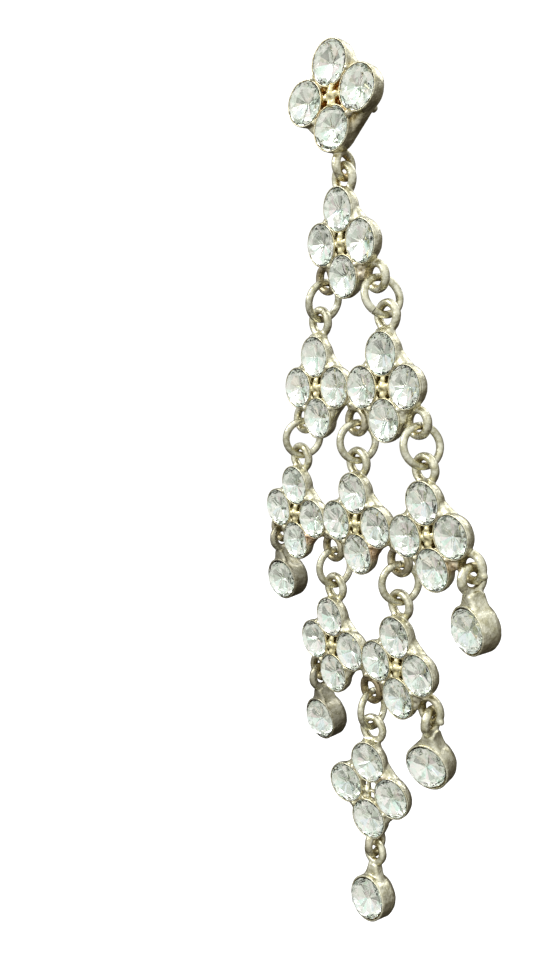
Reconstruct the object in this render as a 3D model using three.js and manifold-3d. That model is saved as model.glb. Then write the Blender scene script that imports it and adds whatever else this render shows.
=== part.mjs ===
// Chandelier earring: a post stud and five rows of four-stone clusters, with small bezel drops.
// Millimetres, +Z up. The stones face -Y and the ear post runs along +Y.
// The origin is where the ear post leaves the flat back of the stud.
import * as THREE from 'three';
import { mergeVertices } from 'three/addons/utils/BufferGeometryUtils.js';
import Module from 'manifold-3d';

const wasm = await Module();
wasm.setup();

// ---- Driving dimensions -------------------------------------------------------------------

const GAP = 0.08; // clearance between a stone and its cup
const RING_GAP = 0.16; // clearance between a jump ring and the loops it carries, on the loaded side
const THREAD_GAP = 0.37; // the same between two loops threaded straight into each other
const CUP_SIDES = 10;
const DROP_SIDES = 12;
const STONE_SIDES = 10;
const BEAD_SIDES = 8;
const LOOP_STEPS = 10;
const RING_STEPS = 16;
const RING_SIDES = 6;

// Round stones: flat table, crown, narrow girdle at depth 0, blunt pavilion
const STONE_R = 1.9;
const TABLE_R = 1.05;
const CROWN_H = 0.8;
const GIRDLE_H = 0.1;
const PAVILION_H = 0.95;
const CULET_R = 0.45;
const BRIDGE = 0.3; // side of the hidden bars that join the four stones of a cluster
const BRIDGE_Y = 0.65;

// Clusters: four cups round a centre bead
const CUP_R = 2.14;
const CUP_BACK_R = 1.95;
const RIM_Y = -0.12; // front edge of a cup
const PLATE_Y = 0.3; // front of the plate between the cups
const ROW_BACK_Y = 1.3; // back of a row's casting
const HALF_W = 2.95; // centre of a cluster to its side stones
const HALF_H = 3.12; // centre of a cluster to its top and bottom stones
const CLUSTER_PITCH = 9.98; // between the clusters of one row
const BEAD_R = 0.42;
const BEAD_TOP_Y = -0.35;
const BEAD_SHOULDER_Y = -0.1;
const SHOULDER_OUT = 1.15; // the plate reaches this far past the centres of the side stones
const SHOULDER_H = 1.5; // half the height of the plate there
const FLANK_W = 1.75; // half width that the upper flanks are drawn in towards
const TOP_HALF = 0.95; // half width of the plate under a row's top loop
const FOOT_HALF = 1.3; // half width of the plate below the bottom cup
const FOOT_DROP = 1.5;
const WEB_HALF = 0.9; // half width of the web above a loop between two clusters
const WEB_END_HALF = 0.54;

// Stud
const STUD_HALF_W = 3.2;
const STUD_HALF_H = 2.93;
const STUD_DEPTH = 1.8; // girdle to back
const STUD_TOP_HALF = 1.35;
const STUD_TOP_RISE = 1.6;
const POST_R = 0.42;
const POST_L = 5.0;
const POST_ROOT = 0.4; // length of the post inside the stud

// Cast loops: a flat-sided ring, its width measured along the radius
const LOOP_R = 1.225; // centre line
const LOOP_W = 0.8;
const LOOP_DEPTH = 0.9;
const LOOP_RIDGE = 0.3; // of the depth: where the flat sides break into the ridge
const LOOP_Y = 1.1; // middle of a row's loops, behind the girdle
const END_LOOP_R = 1.15; // loops under the stud and under row 5, turned edge on
const END_LOOP_DROP = 1.0; // their centre below the bottom cup
const STUD_LOOP_Y = 1.7; // behind the girdle

// Jump rings
const RING_R = 1.875;
const RING_WIRE_R = 0.375;

// Bezel drops
const DROP_RIM_R = 2.34;
const DROP_BACK_R = 2.12;
const DROP_RIM_Y = -0.2;
const DROP_DEPTH = 2.25;
const DROP_CHAMFER = 0.5; // length of the taper to the back
const DROP_MID_Y = 1.05; // middle of a drop's loop and neck
const NECK_HALF = 1.0;
const NECK_END_HALF = 0.6;
const SIDE_DROP = { edgeOn: true, loopR: 1.15, loopW: 0.95, loopZ: 4.55, neckSpread: 0.95 };
const LAST_DROP = { edgeOn: false, loopR: 1.05, loopW: 0.8, loopZ: 4.75, neckSpread: 0.6 };

// Each row: its clusters, the height of its top loops, where its outer lower loops are cast on their
// clusters, the height of the loops between two clusters, and how it hangs in degrees: turn about the
// vertical, top leaning forward, foot swung to the right
const ROWS = {
  row1: {
    clusters: 1, topLoopZ: 5.9, footX: 3.75, footZ: -3.35, turn: -11.1, lean: 6.6, swing: -3.9,
  },
  row2: {
    clusters: 2, topLoopZ: 6.6, footX: 3.5, footZ: -3.35, middleZ: -3.35, turn: -9.6, lean: 2.1, swing: -0.7,
  },
  row3: {
    clusters: 3, topLoopZ: 6.1, footX: 4.0, footZ: -2.9, middleZ: -3.35, turn: -9.7, lean: 4.6, swing: -0.9,
  },
  row4: {
    clusters: 2, topLoopZ: 6.2, footX: 3.5, footZ: -3.6, middleZ: -3.8, turn: -10, lean: 3.1, swing: -1,
  },
  row5: { clusters: 1, topLoopZ: 6.45, turn: 0.7, lean: 0.9, swing: -1.3 },
};
const ROW3_SPLAY = 6.5; // the outer clusters of row 3 spread their feet
// How far each ring below a row is turned from facing the front towards facing +X, left to right
const RING_FACING = {
  row1: [80, 70],
  row2: [58, 60, 64],
  row3: [71, 56],
  row4: [88],
};
// Each drop: the row and the lower loop that carry it, its form, and how it hangs, as above
const DROPS = {
  drop_row3_left: { row: 'row3', index: 0, form: SIDE_DROP, turn: -6, lean: 7, swing: 4 },
  drop_row3_right: { row: 'row3', index: 3, form: SIDE_DROP, turn: -20, lean: 6, swing: -1 },
  drop_row4_left: { row: 'row4', index: 0, form: SIDE_DROP, turn: -9, lean: 6, swing: 3 },
  drop_row4_right: { row: 'row4', index: 2, form: SIDE_DROP, turn: 4, lean: 9, swing: -5 },
  drop_row5: { row: 'row5', index: 0, form: LAST_DROP, turn: -5, lean: -6, swing: 1 },
};

const deg = THREE.MathUtils.degToRad;

// ---- Materials ------------------------------------------------------------------------------

const castMetal = () => new THREE.MeshStandardMaterial({ color: 0xcfc8ac, roughness: 0.38, metalness: 0.9 });
const wireMetal = () => new THREE.MeshStandardMaterial({ color: 0xc9c0a2, roughness: 0.32, metalness: 0.9 });
const crystal = () => new THREE.MeshStandardMaterial({ color: 0xdfe8e4, roughness: 0.05, metalness: 0.1 });

// ---- Solids ---------------------------------------------------------------------------------

function solid(geometry) {
  geometry.deleteAttribute('normal');
  geometry.deleteAttribute('uv');
  const merged = mergeVertices(geometry, 1e-5);
  return new wasm.Manifold(new wasm.Mesh({
    numProp: 3,
    vertProperties: new Float32Array(merged.attributes.position.array),
    triVerts: new Uint32Array(merged.index.array),
  }));
}

function meshOf(name, body, material) {
  const data = body.getMesh();
  const geometry = new THREE.BufferGeometry();
  geometry.setAttribute('position', new THREE.BufferAttribute(data.vertProperties, 3));
  geometry.setIndex(new THREE.BufferAttribute(data.triVerts, 1));
  geometry.computeVertexNormals();
  const mesh = new THREE.Mesh(geometry, material);
  mesh.name = name;
  return mesh;
}

const join = (bodies) => bodies.reduce((sum, body) => sum.add(body));

// A turned shape about the Y axis from [radius, y] points that start and end on the axis.
function turned(points, sides) {
  return new THREE.LatheGeometry(points.map(([r, y]) => new THREE.Vector2(r, y)), sides);
}

// A flat shape in X and Z, from y = front to y = back.
function slab(shape, front, back) {
  const geometry = new THREE.ExtrudeGeometry(shape, {
    depth: back - front, bevelEnabled: false, curveSegments: 3,
  });
  return geometry.rotateX(Math.PI / 2).translate(0, back, 0);
}

// A cast loop whose axis runs along Y, or along X when it is edge on.
function loop(radius, width, depth, edgeOn = false) {
  const half = width / 2;
  const side = LOOP_RIDGE * depth;
  const outline = [
    [radius - half, -side], [radius, -depth / 2], [radius + half, -side],
    [radius + half, side], [radius, depth / 2], [radius - half, side], [radius - half, -side],
  ];
  const geometry = turned(outline, LOOP_STEPS);
  return edgeOn ? geometry.rotateZ(Math.PI / 2) : geometry;
}

// ---- Stones ---------------------------------------------------------------------------------

// One cut stone, its girdle at y = 0.
function stoneGeometry() {
  return turned([
    [0, -CROWN_H], [TABLE_R, -CROWN_H], [STONE_R, -GIRDLE_H / 2], [STONE_R, GIRDLE_H / 2],
    [CULET_R, PAVILION_H], [0, PAVILION_H],
  ], STONE_SIDES);
}

// The space that a stone takes out of its cup, open to the front.
function pocketGeometry() {
  const side = STONE_R + GAP;
  return turned([
    [0, -CROWN_H], [side, -CROWN_H], [side, PAVILION_H + GAP], [0, PAVILION_H + GAP],
  ], STONE_SIDES);
}

function stonePlaces(halfW, halfH) {
  return [[0, halfH], [halfW, 0], [0, -halfH], [-halfW, 0]];
}

// Four stones, or their four pockets, joined below the plate by bars from stone to stone.
function stoneSet(halfW, halfH, makeStone, grow) {
  const places = stonePlaces(halfW, halfH);
  const bodies = places.map(([x, z]) => solid(makeStone().translate(x, 0, z)));
  const thick = BRIDGE + 2 * grow;
  places.slice(0, -1).forEach(([x, z], i) => {
    const [nextX, nextZ] = places[i + 1];
    const bar = new THREE.BoxGeometry(Math.hypot(nextX - x, nextZ - z), thick, thick);
    bar.rotateY(-Math.atan2(nextZ - z, nextX - x));
    bodies.push(solid(bar.translate((x + nextX) / 2, BRIDGE_Y, (z + nextZ) / 2)));
  });
  return join(bodies);
}

// ---- Castings -------------------------------------------------------------------------------

// The plate between the cups, with hollow flanks up to the top loop and down to the lower ones.
function plateShape(halfW, halfH, topZ, topHalf) {
  const shoulderX = halfW + SHOULDER_OUT;
  const footZ = -halfH - FOOT_DROP;
  const flankTop = halfH - 0.3;
  const flankX = halfW - 0.8;
  const flankZ = -halfH + 0.5;
  const shape = new THREE.Shape();
  shape.moveTo(topHalf, topZ);
  shape.quadraticCurveTo(FLANK_W, flankTop, shoulderX, SHOULDER_H);
  shape.lineTo(shoulderX, -SHOULDER_H);
  shape.quadraticCurveTo(flankX, flankZ, FOOT_HALF, footZ);
  shape.lineTo(-FOOT_HALF, footZ);
  shape.quadraticCurveTo(-flankX, flankZ, -shoulderX, -SHOULDER_H);
  shape.lineTo(-shoulderX, SHOULDER_H);
  shape.quadraticCurveTo(-FLANK_W, flankTop, -topHalf, topZ);
  return shape;
}

// One four-cup cluster about the origin, before its stone pockets are cut.
function cluster(halfW, halfH, back, topZ, topHalf) {
  const cup = () => turned([[0, RIM_Y], [CUP_R, RIM_Y], [CUP_BACK_R, back], [0, back]], CUP_SIDES);
  const bead = turned([
    [0, BEAD_TOP_Y], [BEAD_R, BEAD_SHOULDER_Y], [BEAD_R, BRIDGE_Y], [0, BRIDGE_Y],
  ], BEAD_SIDES);
  const bodies = stonePlaces(halfW, halfH).map(([x, z]) => solid(cup().translate(x, 0, z)));
  bodies.push(solid(slab(plateShape(halfW, halfH, topZ, topHalf), PLATE_Y, back)));
  bodies.push(solid(bead));
  return join(bodies);
}

// Centre and splay of each cluster in a row.
function clusterPlaces(count) {
  return Array.from({ length: count }, (_, i) => {
    const step = i - (count - 1) / 2;
    const splay = count === 3 ? deg(ROW3_SPLAY) * step : 0;
    const matrix = new THREE.Matrix4().makeRotationY(-splay);
    return matrix.setPosition(step * CLUSTER_PITCH, 0, 0);
  });
}

function topLoopPlaces(name) {
  return clusterPlaces(ROWS[name].clusters)
    .map((place) => new THREE.Vector3(0, LOOP_Y, ROWS[name].topLoopZ).applyMatrix4(place));
}

function middleLoopPlaces(name) {
  const { clusters, middleZ } = ROWS[name];
  return Array.from({ length: clusters - 1 }, (_, i) => (
    new THREE.Vector3((i + 1 - clusters / 2) * CLUSTER_PITCH, LOOP_Y, middleZ)));
}

// One loop at each outer foot of the row, and one between each two clusters.
function lowerLoopPlaces(name) {
  const { clusters, footX, footZ } = ROWS[name];
  const places = clusterPlaces(clusters);
  return [
    new THREE.Vector3(-footX, LOOP_Y, footZ).applyMatrix4(places[0]),
    ...middleLoopPlaces(name),
    new THREE.Vector3(footX, LOOP_Y, footZ).applyMatrix4(places[clusters - 1]),
  ];
}

function endLoopPlace(halfH, y) {
  return new THREE.Vector3(0, y, -halfH - CUP_R - END_LOOP_DROP);
}

const endLoop = (at) => solid(loop(END_LOOP_R, LOOP_W, LOOP_DEPTH, true).translate(at.x, at.y, at.z));

// The web that ties a loop between two clusters to the cups above it.
function loopWeb(place) {
  const top = LOOP_R + 1.6;
  const end = LOOP_R - 0.35;
  const shape = new THREE.Shape();
  shape.moveTo(-WEB_HALF, top);
  shape.lineTo(WEB_HALF, top);
  shape.lineTo(WEB_END_HALF, end);
  shape.lineTo(-WEB_END_HALF, end);
  return slab(shape, PLATE_Y, ROW_BACK_Y).translate(place.x, 0, place.z);
}

function rowCasting(name) {
  const topZ = ROWS[name].topLoopZ - LOOP_R + 0.1;
  const places = clusterPlaces(ROWS[name].clusters);
  const bodies = places.map((place) => (
    cluster(HALF_W, HALF_H, ROW_BACK_Y, topZ, TOP_HALF).transform(place.elements)));
  const castLoop = (at) => solid(loop(LOOP_R, LOOP_W, LOOP_DEPTH).translate(at.x, at.y, at.z));
  bodies.push(...topLoopPlaces(name).map(castLoop));
  if (name === 'row5') {
    bodies.push(endLoop(endLoopPlace(HALF_H, LOOP_Y)));
  } else {
    bodies.push(...middleLoopPlaces(name).map((at) => solid(loopWeb(at))));
    bodies.push(...lowerLoopPlaces(name).map(castLoop));
  }
  const pockets = places.map((place) => (
    stoneSet(HALF_W, HALF_H, pocketGeometry, GAP).transform(place.elements)));
  return join(bodies).subtract(join(pockets));
}

function studCasting() {
  const body = cluster(STUD_HALF_W, STUD_HALF_H, STUD_DEPTH, STUD_HALF_H + STUD_TOP_RISE, STUD_TOP_HALF);
  const post = new THREE.CylinderGeometry(POST_R, POST_R, POST_L + POST_ROOT, 10);
  post.translate(0, STUD_DEPTH + (POST_L - POST_ROOT) / 2, 0);
  return join([body, endLoop(endLoopPlace(STUD_HALF_H, STUD_LOOP_Y)), solid(post)])
    .subtract(stoneSet(STUD_HALF_W, STUD_HALF_H, pocketGeometry, GAP));
}

// ---- Drops ----------------------------------------------------------------------------------

// A round bezel cup with its neck and loop above it.
function dropCup({ edgeOn, loopR, loopW, loopZ, neckSpread }) {
  const cup = turned([
    [0, DROP_RIM_Y], [DROP_RIM_R, DROP_RIM_Y], [DROP_RIM_R, DROP_DEPTH - DROP_CHAMFER],
    [DROP_BACK_R, DROP_DEPTH], [0, DROP_DEPTH],
  ], DROP_SIDES);
  const ring = loop(loopR, loopW, LOOP_DEPTH, edgeOn).translate(0, DROP_MID_Y, loopZ);
  const shape = new THREE.Shape();
  shape.moveTo(-NECK_HALF, STONE_R / 2);
  shape.lineTo(NECK_HALF, STONE_R / 2);
  shape.lineTo(NECK_END_HALF, loopZ - loopR);
  shape.lineTo(-NECK_END_HALF, loopZ - loopR);
  const neck = slab(shape, DROP_MID_Y - neckSpread, DROP_MID_Y + neckSpread);
  return join([solid(cup), solid(ring), solid(neck)]).subtract(solid(pocketGeometry()));
}

// ---- Assembly -------------------------------------------------------------------------------

const earring = new THREE.Group();
const studPlace = new THREE.Matrix4().makeTranslation(0, -STUD_DEPTH, 0);

function addPiece(name, body, material, matrix) {
  const mesh = meshOf(name, body, material);
  matrix.decompose(mesh.position, mesh.quaternion, mesh.scale);
  earring.add(mesh);
}

function hangMatrix({ turn, lean, swing }) {
  const euler = new THREE.Euler(deg(lean), -deg(swing), deg(turn), 'ZXY');
  return new THREE.Matrix4().makeRotationFromEuler(euler);
}

function mean(points) {
  const sum = new THREE.Vector3();
  points.forEach((point) => sum.add(point));
  return sum.divideScalar(points.length);
}

const world = (points, matrix) => points.map((point) => point.clone().applyMatrix4(matrix));

// Places a turned piece so that its loops hang, on average, straight below the loops that carry them,
// as low as the shortest of the links between their centres lets it.
function hangBelow(rotation, loops, carriers, reach) {
  const turnedLoops = world(loops, rotation);
  const at = mean(carriers).sub(mean(turnedLoops));
  at.z = Math.max(...turnedLoops.map((point, i) => {
    const aside = Math.hypot(at.x + point.x - carriers[i].x, at.y + point.y - carriers[i].y);
    return carriers[i].z - Math.sqrt(reach * reach - aside * aside) - point.z;
  }));
  return rotation.clone().setPosition(at);
}

const SIDE_NAMES = { 1: ['middle'], 2: ['left', 'right'], 3: ['left', 'middle', 'right'] };

// One ring through each pair of loops, hanging in the line between their centres.
function addRings(name, upper, lower) {
  const above = `row${Number(name.slice(3)) - 1}`;
  const sides = SIDE_NAMES[upper.length];
  upper.forEach((start, i) => {
    const up = start.clone().sub(lower[i]).normalize();
    const facing = deg(RING_FACING[above][i]);
    const towards = new THREE.Vector3(Math.sin(facing), -Math.cos(facing), 0);
    const side = new THREE.Vector3().crossVectors(up, towards).normalize();
    const normal = new THREE.Vector3().crossVectors(side, up);
    const matrix = new THREE.Matrix4().makeBasis(side, up, normal);
    matrix.setPosition(mean([start, lower[i]]));
    const ring = solid(new THREE.TorusGeometry(RING_R, RING_WIRE_R, RING_SIDES, RING_STEPS));
    addPiece(`ring_${above}_${sides[i]}`, ring, wireMetal(), matrix);
  });
}

addPiece('stud_casting', studCasting(), castMetal(), studPlace);
addPiece('stud_stones', stoneSet(STUD_HALF_W, STUD_HALF_H, stoneGeometry, 0), crystal(), studPlace);

// Row 1 is threaded straight into the stud's loop; every other row hangs on jump rings.
const threadReach = (radius, nextRadius, width, nextWidth) => (
  radius + nextRadius - (width + nextWidth) / 2 - THREAD_GAP);
const RING_REACH = 2 * (LOOP_R + RING_R - LOOP_W / 2 - RING_WIRE_R - RING_GAP);

let carriers = world([endLoopPlace(STUD_HALF_H, STUD_LOOP_Y)], studPlace);
const lowerLoops = {};

for (const name of Object.keys(ROWS)) {
  const threaded = name === 'row1';
  const reach = threaded ? threadReach(END_LOOP_R, LOOP_R, LOOP_W, LOOP_W) : RING_REACH;
  const matrix = hangBelow(hangMatrix(ROWS[name]), topLoopPlaces(name), carriers, reach);
  if (!threaded) addRings(name, carriers, world(topLoopPlaces(name), matrix));
  addPiece(`${name}_casting`, rowCasting(name), castMetal(), matrix);
  const sides = SIDE_NAMES[ROWS[name].clusters];
  clusterPlaces(ROWS[name].clusters).forEach((place, i) => {
    const label = sides.length > 1 ? `${name}_${sides[i]}_stones` : `${name}_stones`;
    addPiece(label, stoneSet(HALF_W, HALF_H, stoneGeometry, 0), crystal(), matrix.clone().multiply(place));
  });
  const loops = name === 'row5' ? [endLoopPlace(HALF_H, LOOP_Y)] : lowerLoopPlaces(name);
  lowerLoops[name] = world(loops, matrix);
  // The outer loops of rows 3 and 4 carry drops, so the next row hangs on the inner ones.
  carriers = name === 'row3' || name === 'row4' ? lowerLoops[name].slice(1, -1) : lowerLoops[name];
}

for (const [name, drop] of Object.entries(DROPS)) {
  const { loopR, loopW, loopZ } = drop.form;
  const loopPlace = new THREE.Vector3(0, DROP_MID_Y, loopZ);
  const carrierR = drop.row === 'row5' ? END_LOOP_R : LOOP_R;
  const reach = threadReach(carrierR, loopR, LOOP_W, loopW);
  const carrier = lowerLoops[drop.row][drop.index];
  const matrix = hangBelow(hangMatrix(drop), [loopPlace], [carrier], reach);
  addPiece(`${name}_cup`, dropCup(drop.form), castMetal(), matrix);
  addPiece(`${name}_stone`, solid(stoneGeometry()), crystal(), matrix);
}

export default earring;
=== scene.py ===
"""A chandelier earring hanging from its ear post.

Cast silver-tone clusters of four faceted stones, threaded loops, jump rings and small bezel drops.
Everything is modelled in millimetres in the frame of its own casting, then placed and scaled to metres.
"""
import math

import bpy
import numpy as np
from mathutils import Matrix, Vector


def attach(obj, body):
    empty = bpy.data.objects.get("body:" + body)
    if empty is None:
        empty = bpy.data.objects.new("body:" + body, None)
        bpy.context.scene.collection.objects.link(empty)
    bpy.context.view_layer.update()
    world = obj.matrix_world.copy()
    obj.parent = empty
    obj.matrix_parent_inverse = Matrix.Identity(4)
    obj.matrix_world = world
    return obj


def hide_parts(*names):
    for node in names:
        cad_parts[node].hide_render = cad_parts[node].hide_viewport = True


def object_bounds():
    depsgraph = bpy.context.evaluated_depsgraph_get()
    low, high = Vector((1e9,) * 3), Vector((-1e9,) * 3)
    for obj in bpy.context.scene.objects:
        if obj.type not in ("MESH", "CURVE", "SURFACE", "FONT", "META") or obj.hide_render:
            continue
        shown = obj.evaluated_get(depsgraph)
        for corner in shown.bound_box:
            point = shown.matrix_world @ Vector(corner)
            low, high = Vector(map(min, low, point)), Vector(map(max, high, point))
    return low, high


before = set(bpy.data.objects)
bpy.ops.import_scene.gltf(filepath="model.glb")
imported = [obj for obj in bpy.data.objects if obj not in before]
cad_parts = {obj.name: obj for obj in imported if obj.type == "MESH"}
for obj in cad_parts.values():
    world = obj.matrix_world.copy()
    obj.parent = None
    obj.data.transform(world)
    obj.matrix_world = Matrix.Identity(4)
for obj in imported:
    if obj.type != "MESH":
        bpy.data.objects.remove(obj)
CAD_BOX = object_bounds()
MM = 0.001

# ---- Sizes in millimetres, as the castings are built ----------------------------------------

# Stones: the girdle lies at y = 0 and the table faces -Y
STONE_R = 2.0
TABLE_R = 1.08
CROWN_H = 0.8
GIRDLE_HALF = 0.05
CROWN_MID_R = 1.6
CROWN_MID_Y = -0.42
PAVILION_H = 0.48
PAVILION_MID_R = 1.2
CULET_R = 0.14
POCKET_R = 2.03
POCKET_LEDGE = 0.16
POCKET_END_R = 0.7
POCKET_FLOOR = 1.04

# Clusters
CUP_R = 2.14
CUP_BACK_R = 1.95
RIM_Y = -0.04
PLATE_Y = 0.16
PLATE_EDGE = 0.42
ROW_BACK_Y = 1.3
WELL = 1.75
WELL_FLOOR = 0.8
CROSS_BACK = 1.0
HALF_W = 2.95
HALF_H = 3.12
CLUSTER_PITCH = 9.98
TOP_HALF = 0.95

# The grain of metal in each outer notch between two cups
PRONG_OUT = 0.72
PRONG_Y = 0.06
PRONG_R = 0.3

# Stud
STUD_HALF_W = 3.2
STUD_HALF_H = 2.93
STUD_DEPTH = 1.8
STUD_TOP = 1.6
STUD_TOP_HALF = 1.35
STUD_FRONT = 0.55
STUD_FOOT_PULL = 0.35
POST_R = 0.42
POST_L = 5.0

# Loops and rings
LOOP_R = 1.225
LOOP_W = 0.8
LOOP_DEPTH = 0.9
LOOP_Y = 1.1
END_LOOP_R = 1.15
END_LOOP_DROP = 1.0
STUD_LOOP_Y = 1.7
RING_R = 1.875
RING_WIRE_R = 0.375

# Bezel drops
DROP_RIM_R = 2.34
DROP_BACK_R = 2.12
DROP_RIM_Y = -0.08
DROP_DEPTH = 2.25
DROP_MID_Y = 1.05
DROP_POCKET_R = 2.14
DROP_LEDGE = 0.32
DROP_STONE_RATIO = 1.03
DROP_STONE_SPOT = (-0.08, -0.05)

ROWS = {
    "row1": {"sides": ["middle"], "top_z": 5.9, "foot_x": 3.75, "foot_z": -3.35},
    "row2": {"sides": ["left", "right"], "top_z": 6.6, "foot_x": 3.5, "foot_z": -3.35, "middle_z": -3.35},
    "row3": {"sides": ["left", "middle", "right"], "top_z": 6.1, "foot_x": 4.0, "foot_z": -2.9,
             "middle_z": -3.35},
    "row4": {"sides": ["left", "right"], "top_z": 6.2, "foot_x": 3.5, "foot_z": -3.6, "middle_z": -3.8},
    "row5": {"sides": ["middle"], "top_z": 6.45},
}

# Rows whose right foot loop has a stray nub of metal, and where it sits from the loop's middle
NUBBED_ROWS = ("row3", "row4")
NUB_X = 1.35
NUB_Z = -0.8

# The last row ends in one edge-on loop
LAST_ROW = "row5"

# The row whose centre is open right through, spanned by a thinner cross
OPEN_ROW = "row5"
OPEN_CROSS_BACK = 0.5
CROSS_ARM = 0.25
OPEN_CROSS_ARM = 0.15

# The lumps of a centre cross: x, y, z and radius
OPEN_CROSS_LUMPS = [(-0.05, 0.05, 0.0, 0.33), (-0.5, 0.1, -0.08, 0.3), (-0.08, 0.1, -0.6, 0.27),
                    (-0.25, 0.12, 0.35, 0.22)]
CROSS_LUMPS = [(0.06, -0.02, 0.12, 0.35), (-0.22, 0.05, -0.2, 0.31), (0.3, 0.1, -0.14, 0.28),
               (0.62, 0.12, 0.12, 0.3), (-0.6, 0.1, -0.08, 0.33), (0.12, 0.1, 0.74, 0.32),
               (-0.1, 0.1, -0.72, 0.33), (-0.3, 0.15, 0.42, 0.26), (0.28, 0.18, -0.5, 0.25),
               (-0.1, 0.02, 0.42, 0.24)]

# A drop's stone leans out of its cup, its lower left edge foremost: the turns about X and about Z
UPRIGHT = (0.0, 0.0)
DROP_LEAN = (-0.05, 0.09)

# The middle of a cluster is gilded out to here, less strongly in the open row; every patch of gilding,
# stains and painted shade fades over its last part
GILT_R = 1.55
STAIN_AND_SHADE_FADE = 0.6
OPEN_GILT = 0.25

# Patches of painted shade where loops and walls sit in shadow, as (x, z, radius, strength) in each row's own
# millimetres
PAINTED_SHADE_SPOTS = {
    "row1": [(-3.75, -3.6, 2.2, 0.8)],
    "row2": [(0.0, -3.6, 2.0, 0.45)],
    "row3": [(-4.99, -3.6, 2.0, 0.7), (4.99, -3.6, 2.0, 0.6), (-13.98, -3.2, 2.2, 0.8)],
    "row4": [(0.0, -4.0, 2.3, 1.0), (-8.49, -3.8, 2.2, 0.6), (8.4, -3.2, 1.6, 0.4)],
    "row5": [(0.3, -6.6, 1.6, 0.4)],
}
# Peach stains in the plating, in the same columns
BLUSH = {
    "row1": [(2.6, -2.9, 1.0, 0.35)],
    "row3": [(-7.7, -2.6, 1.2, 1.0), (2.3, -2.7, 1.2, 1.0), (12.6, -2.5, 1.0, 0.6)],
    "row5": [(1.9, 1.6, 0.9, 0.6)],
}

# How far each jump ring is turned: its cut lies inside the loop above, but for one
HIDDEN_CUT = math.radians(-90)
RING_CUTS = {"ring_row1_right": math.radians(130)}
# A ring's wire stops just short of a full turn, which leaves its cut
RING_SWEEP = math.radians(357.5)

# Fused castings: the size of their finest detail, the share of triangles that is kept, and how deep
# and how wide the waver of their surface is
GRAIN = 0.1
KEEP = 0.4
WAVER_DEPTH = 0.07
WAVER_SIZE = 0.7

# Drops that hang in shadow take a darker copy of the plating: painted shade
PAINTED_SHADE_DROPS = ("drop_row3_left", "drop_row4_left")
SIDE_DROP = {"edge_on": True, "loop_r": 1.15, "loop_w": 0.95, "loop_z": 4.55}
LAST_DROP = {"edge_on": False, "loop_r": 1.05, "loop_w": 0.8, "loop_z": 4.75}
DROPS = {
    "drop_row3_left": SIDE_DROP, "drop_row3_right": SIDE_DROP, "drop_row4_left": SIDE_DROP,
    "drop_row4_right": SIDE_DROP, "drop_row5": LAST_DROP,
}
STUD_NODES = ("stud_casting", "stud_stones")
SMOOTH_ANGLE = math.radians(50)

# ---- Where the castings hang, read from the frame -------------------------------------------


def facing_faces(node):
    """The way a stone node faces, and its foremost flat faces: the tables of its stones."""
    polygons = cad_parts[node].data.polygons
    faces = [(face.normal.copy(), face.area, face.center.copy()) for face in polygons]
    normals = np.array([normal for normal, _, _ in faces])
    areas = np.array([area for _, area, _ in faces])
    alike = normals @ normals.T > 0.9999
    front = int(np.argmax(alike @ areas))
    normal = faces[front][0]
    flat = [faces[i] for i in np.flatnonzero(alike[front])]
    foremost = max(centre.dot(normal) for _, _, centre in flat)
    return normal, [face for face in flat if face[2].dot(normal) > foremost - 0.05 * MM]


def table_centres(faces):
    """The middle of each table among flat faces that all look the same way."""
    tables = []
    for _, area, centre in faces:
        near = [table for table in tables if (table[0] - centre).length < 2 * MM]
        if near:
            near[0].append((area, centre))
        else:
            tables.append([centre, (area, centre)])
    centres = []
    for _, *parts in tables:
        total = sum(area for area, _ in parts)
        centres.append(sum((centre * area for area, centre in parts), Vector()) / total)
    return centres


def place_of(across, back, up, centre):
    """A matrix from a casting's own millimetres to its place in metres."""
    place = Matrix((across, back, up)).transposed().to_4x4()
    place.translation = centre
    return place @ Matrix.Scale(MM, 4)


def cluster_place(node):
    normal, faces = facing_faces(node)
    tables = sorted(table_centres(faces), key=lambda centre: centre.z)
    back = -normal
    up = (tables[-1] - tables[0]).normalized()
    centre = sum(tables, Vector()) / len(tables) + back * CROWN_H * MM
    return place_of(back.cross(up), back, up, centre)


def drop_place(name):
    normal, faces = facing_faces(f"{name}_stone")
    back = -normal
    centre = table_centres(faces)[0] + back * CROWN_H * MM
    asides = []
    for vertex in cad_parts[f"{name}_cup"].data.vertices:
        offset = vertex.co - centre
        asides.append(offset - back * offset.dot(back))
    reach = max(aside.length for aside in asides)
    tip = [aside for aside in asides if aside.length > reach - 0.01 * MM]
    up = sum(tip, Vector()).normalized()
    return place_of(back.cross(up), back, up, centre)


def ring_place(node):
    points = np.array([vertex.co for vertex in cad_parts[node].data.vertices])
    centre = (points.max(0) + points.min(0)) / 2
    axes = np.linalg.svd(points - points.mean(0), full_matrices=False)[2]
    back = Vector(axes[2])
    if back.y < 0:
        back = -back
    up = Vector((0, 0, 1))
    up = (up - back * up.dot(back)).normalized()
    return place_of(back.cross(up), back, up, Vector(centre))


def row_place(name):
    """The place of a whole row: that of its middle, turned as its clusters are on average."""
    sides = ROWS[name]["sides"]
    places = [cluster_place(stones_node(name, side)) for side in sides]
    if len(places) % 2:
        return places[len(places) // 2]
    middle = places[0].copy()
    middle.translation = (places[0].translation + places[1].translation) / 2
    return middle


def stones_node(name, side):
    return f"{name}_stones" if side == "middle" and len(ROWS[name]["sides"]) == 1 else f"{name}_{side}_stones"


# ---- Working by hand ------------------------------------------------------------------------


def nothing_selected():
    if bpy.context.mode != "OBJECT":
        bpy.ops.object.mode_set(mode="OBJECT")
    bpy.ops.object.select_all(action="DESELECT")


def only(piece):
    nothing_selected()
    piece.select_set(True)
    bpy.context.view_layer.objects.active = piece


def apply_modifier(piece, kind, **settings):
    only(piece)
    modifier = piece.modifiers.new(kind.title(), kind)
    for key, value in settings.items():
        setattr(modifier, key, value)
    bpy.ops.object.modifier_apply(modifier=modifier.name)


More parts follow.
